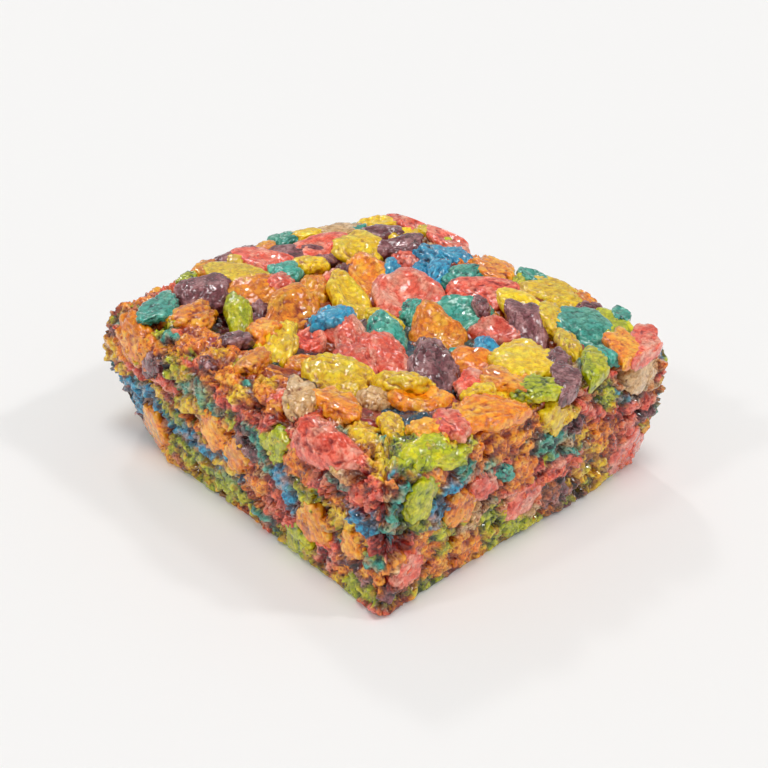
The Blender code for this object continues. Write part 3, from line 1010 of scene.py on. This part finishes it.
def cereal_material(name, look):
    """Glazed or crumbly cereal: mottled tint, painted shade in wrinkles and pores, pale specks as painted
    sheen, unevenly glossy.
    """
    material = bpy.data.materials.new(name)
    material.use_nodes = True
    tree = material.node_tree
    shader = tree.nodes["Principled BSDF"]
    coordinates = tree.nodes.new("ShaderNodeTexCoord").outputs["Object"]
    tint = tree.nodes.new("ShaderNodeAttribute")
    tint.attribute_name = "tint"
    mottle = noise_node(tree, coordinates, MOTTLE_SIZE, 4)
    fine = noise_node(tree, coordinates, FINE_SIZE, 4, 0.62)
    wrinkles = wrinkle_node(tree, coordinates, look.wrinkles)
    pores = pore_node(tree, coordinates)
    darkening = marked_node(tree, wrinkles, pores, look.wrinkle_shade, look.pore_shade)
    # Painted shade: wrinkles and pores darken the tint and deepen its colour.
    deeper = tree.nodes.new("ShaderNodeGamma")
    link(tree, tint.outputs["Color"], deeper.inputs["Color"])
    link(tree, range_node(tree, darkening, 0.4, 1.0, 2.2, 1.0), deeper.inputs["Gamma"])
    shade = tree.nodes.new("ShaderNodeVectorMath")
    shade.operation = "SCALE"
    link(tree, deeper.outputs["Color"], shade.inputs[0])
    mottled = range_node(tree, mottle, 0.3, 0.7, 0.80, 1.34)
    link(tree, product_node(tree, mottled, darkening), shade.inputs["Scale"])
    # Pale specks of dry sugar that also stand in for glints: painted sheen.
    sugar = tree.nodes.new("ShaderNodeMix")
    sugar.data_type = "RGBA"
    link(tree, range_node(tree, fine, 0.60, 0.74, 0.0, look.sugar), sugar.inputs["Factor"])
    link(tree, shade.outputs["Vector"], sugar.inputs["A"])
    sugar.inputs["B"].default_value = SUGAR_AND_SHEEN
    link(tree, sugar.outputs["Result"], shader.inputs["Base Color"])
    link(tree, range_node(tree, fine, 0.3, 0.7, *look.roughness), shader.inputs["Roughness"])
    holes = marked_node(tree, wrinkles, pores, look.wrinkle_low, look.pore_low)
    grain = product_node(tree, range_node(tree, fine, 0, 1, 0.5, 1.0), holes)
    bump = tree.nodes.new("ShaderNodeBump")
    bump.inputs["Strength"].default_value = 1
    bump.inputs["Distance"].default_value = look.bump * MM
    link(tree, grain, bump.inputs["Height"])
    link(tree, bump.outputs["Normal"], shader.inputs["Normal"])
    shader.inputs["Subsurface Weight"].default_value = look.subsurface
    shader.inputs["Subsurface Radius"].default_value = SPREAD_BY_COLOUR
    shader.inputs["Subsurface Scale"].default_value = SPREAD_MM * MM
    shader.inputs["Coat Weight"].default_value = look.coat
    shader.inputs["Coat Roughness"].default_value = COAT_ROUGHNESS
    shader.inputs["IOR"].default_value = IOR
    return material


def floor_material():
    material = bpy.data.materials.new("floor")
    material.use_nodes = True
    shader = material.node_tree.nodes["Principled BSDF"]
    shader.inputs["Base Color"].default_value = FLOOR_COLOUR
    shader.inputs["Roughness"].default_value = 0.9
    shader.inputs["Specular IOR Level"].default_value = 0.1
    return material


# Stage.

# Half the width of the floor in metres, its colour, and how bright the walls near the horizon and the
# ceiling are.
FLOOR_HALF = 3.0
FLOOR_COLOUR = (0.90, 0.892, 0.882, 1)
WALL_STRENGTH, CEILING_STRENGTH = 0.92, 0.39

# The lamps: the way each shines from, how wide it looks in degrees, and how strong it is.
LAMPS = {
    "key": ((-0.06, -0.06, 1), 22, 0.98),
    "front": ((-0.75, -0.75, 1), 7, 0.50),
    "back": ((0.40, 0.80, 0.85), 6, 0.30),
    "left": ((-1.0, 0.3, 0.85), 6, 0.30),
    "right": ((0.70, -0.70, 0.95), 6, 0.44),
}


def make_camera():
    data = bpy.data.cameras.new("camera")
    data.sensor_width = SENSOR_MM
    data.lens = FOCAL_PIXELS * SENSOR_MM / PHOTO_SIZE
    data.clip_start = 0.01
    camera = bpy.data.objects.new("camera", data)
    turn = Matrix((camera_right, camera_up, -forward)).transposed()
    camera.matrix_world = Matrix.Translation(Vector(CAMERA_AT) * MM) @ turn.to_4x4()
    bpy.context.scene.collection.objects.link(camera)
    bpy.context.scene.camera = camera


def make_light(name, towards, width_degrees, strength):
    """A far lamp, so that the whole floor is lit alike, shining from this direction."""
    data = bpy.data.lights.new(name, "SUN")
    data.angle = math.radians(width_degrees)
    data.energy = strength
    light = bpy.data.objects.new(name, data)
    light.rotation_euler = Vector(towards).to_track_quat("Z", "Y").to_euler()
    bpy.context.scene.collection.objects.link(light)


def make_world():
    """A soft dim ceiling over walls that are as pale as the floor near the horizon."""
    world = bpy.data.worlds.new("studio")
    world.use_nodes = True
    tree = world.node_tree
    direction = tree.nodes.new("ShaderNodeTexCoord").outputs["Generated"]
    split = tree.nodes.new("ShaderNodeSeparateXYZ")
    link(tree, direction, split.inputs["Vector"])
    background = tree.nodes["Background"]
    background.inputs["Color"].default_value = (1.0, 1.0, 1.0, 1)
    strength = range_node(tree, split.outputs["Z"], 0.06, 0.20, WALL_STRENGTH, CEILING_STRENGTH)
    link(tree, strength, background.inputs["Strength"])
    return world


def make_stage():
    mesh = bpy.data.meshes.new("floor")
    corners = [(x * FLOOR_HALF, y * FLOOR_HALF, 0) for x, y in ((-1, -1), (1, -1), (1, 1), (-1, 1))]
    mesh.from_pydata(corners, [], [(0, 1, 2, 3)])
    mesh.materials.append(floor_material())
    floor = bpy.data.objects.new("floor", mesh)
    bpy.context.scene.collection.objects.link(floor)
    bpy.context.scene.world = make_world()
    for name, lamp in LAMPS.items():
        make_light(name, *lamp)
    bpy.context.scene.view_settings.view_transform = "Standard"


def build_treat():
    rng = np.random.default_rng(SEED)
    crumb = cereal_material("crumb", CRUMB)
    glazed = {colour: cereal_material(f"{colour}_flake", GLAZED) for colour in FILL_SHARES}
    rings = core_grid()
    tree = BVHTree.FromPolygons(rings.reshape(-1, 3).tolist(), grid_faces(*rings.shape[:2]))
    read = [seen_patch(tree, seen, rng) for seen in SIDE_FLAKES]
    dents = [patch for patch in read if patch.colour == "hollow"]
    read = [patch for patch in read if patch.colour != "hollow"]
    grown = [patch._replace(frame=patch.frame * 1.3) for patch in read]
    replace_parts(make_core(rings, grown + scattered_patches(rng), dents, crumb), NODE)
    fine, medium, coarse = (unit_flake(count) for count in (FINE_POINTS, MEDIUM_POINTS, COARSE_POINTS))
    pile = Pile()
    fill_top(pile, coarse, rng)
    for seen in TOP_FLAKES:
        seen_flake(pile, seen, fine, rng)
    plug_gaps(pile, coarse, rng)
    for patch in read[::4]:
        side_flake(pile, patch, medium, rng, rng.uniform(0.5, 1.3))
    scattered_side_flakes(pile, medium, rng)
    for colour, parts in pile.parts.items():
        starts = np.cumsum([0] + [len(points) for points, _, _ in parts])
        points = np.concatenate([part[0] for part in parts])
        faces = np.concatenate([part[1] + start for part, start in zip(parts, starts)]).tolist()
        tints = np.concatenate([part[2] for part in parts])
        make_object(f"{colour}_flakes", points, faces, tints, glazed[colour])


make_camera()
make_stage()
build_treat()
